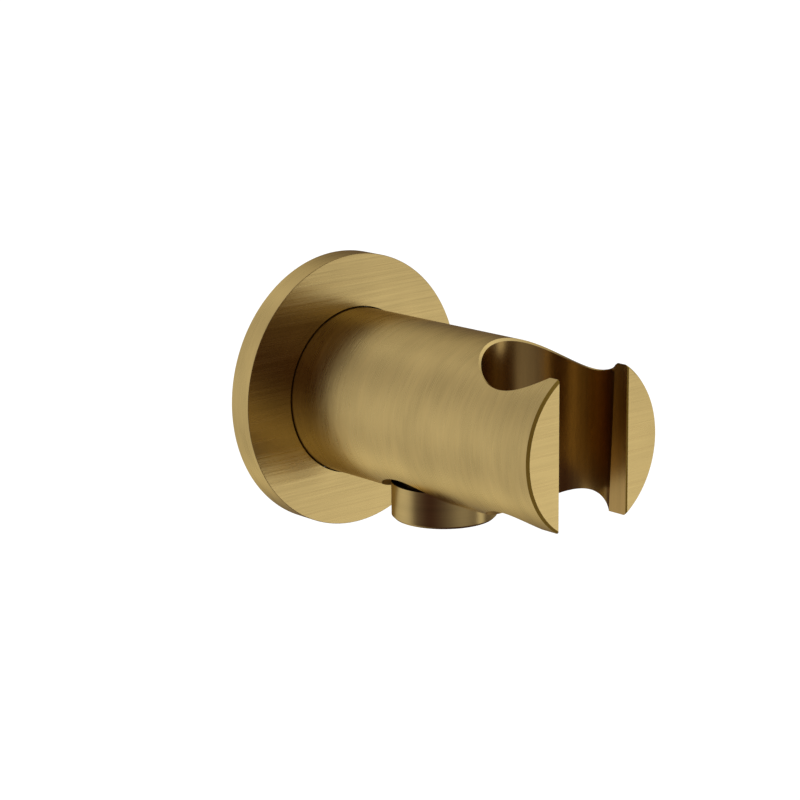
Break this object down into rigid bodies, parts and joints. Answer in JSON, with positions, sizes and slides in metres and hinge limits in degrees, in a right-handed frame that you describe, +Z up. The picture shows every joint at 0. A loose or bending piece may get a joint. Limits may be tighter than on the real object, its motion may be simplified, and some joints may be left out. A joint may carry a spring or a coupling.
{
  "type": "hand shower holder with hose outlet",
  "caption": "Wall-fixed holder for a hand shower: round flange, horizontal round body with a tapered cradle open to the front, and a threaded hose outlet below with a check valve.",
  "frame": {"origin": "centre of the flange's back face, on the wall's surface and on the axis of the round body", "axes": "+Z up, -Y out of the wall into the room, +X to the right when facing the wall"},
  "size_m": [0.056, 0.0883, 0.056],
  "materials": {
    "brushed_brass": "satin, brushed",
    "plain_brass": "turned",
    "foam_seal": "matt",
    "black_rubber": "satin",
    "screw_steel": "plain",
    "spring_steel": "drawn wire",
    "valve_plastic": "moulded",
    "poppet_plastic": "moulded"
  },
  "bodies": {
    "holder": {"wall_flange": "brushed_brass", "holder_body": "brushed_brass", "outlet_nipple": "brushed_brass", "wall_nipple": "plain_brass", "wall_seal": "foam_seal", "flange_o_ring": "black_rubber", "nipple_o_ring_front": "black_rubber", "nipple_o_ring_rear": "black_rubber", "outlet_o_ring": "black_rubber", "valve_o_ring": "black_rubber", "locking_screw": "screw_steel", "valve_spring": "spring_steel", "valve_housing": "valve_plastic", "valve_guide": "valve_plastic"},
    "poppet": {"valve_poppet": "poppet_plastic", "poppet_seal": "black_rubber"}
  },
  "joints": [
    {"name": "poppet_slide", "type": "slide", "parent": "holder", "child": "poppet", "axis": [0, 0, -1], "range_m": [0, 0.002], "stiffness_N_per_m": 60, "springref_m": -0.004, "deforming": ["valve_spring"]}
  ]
}
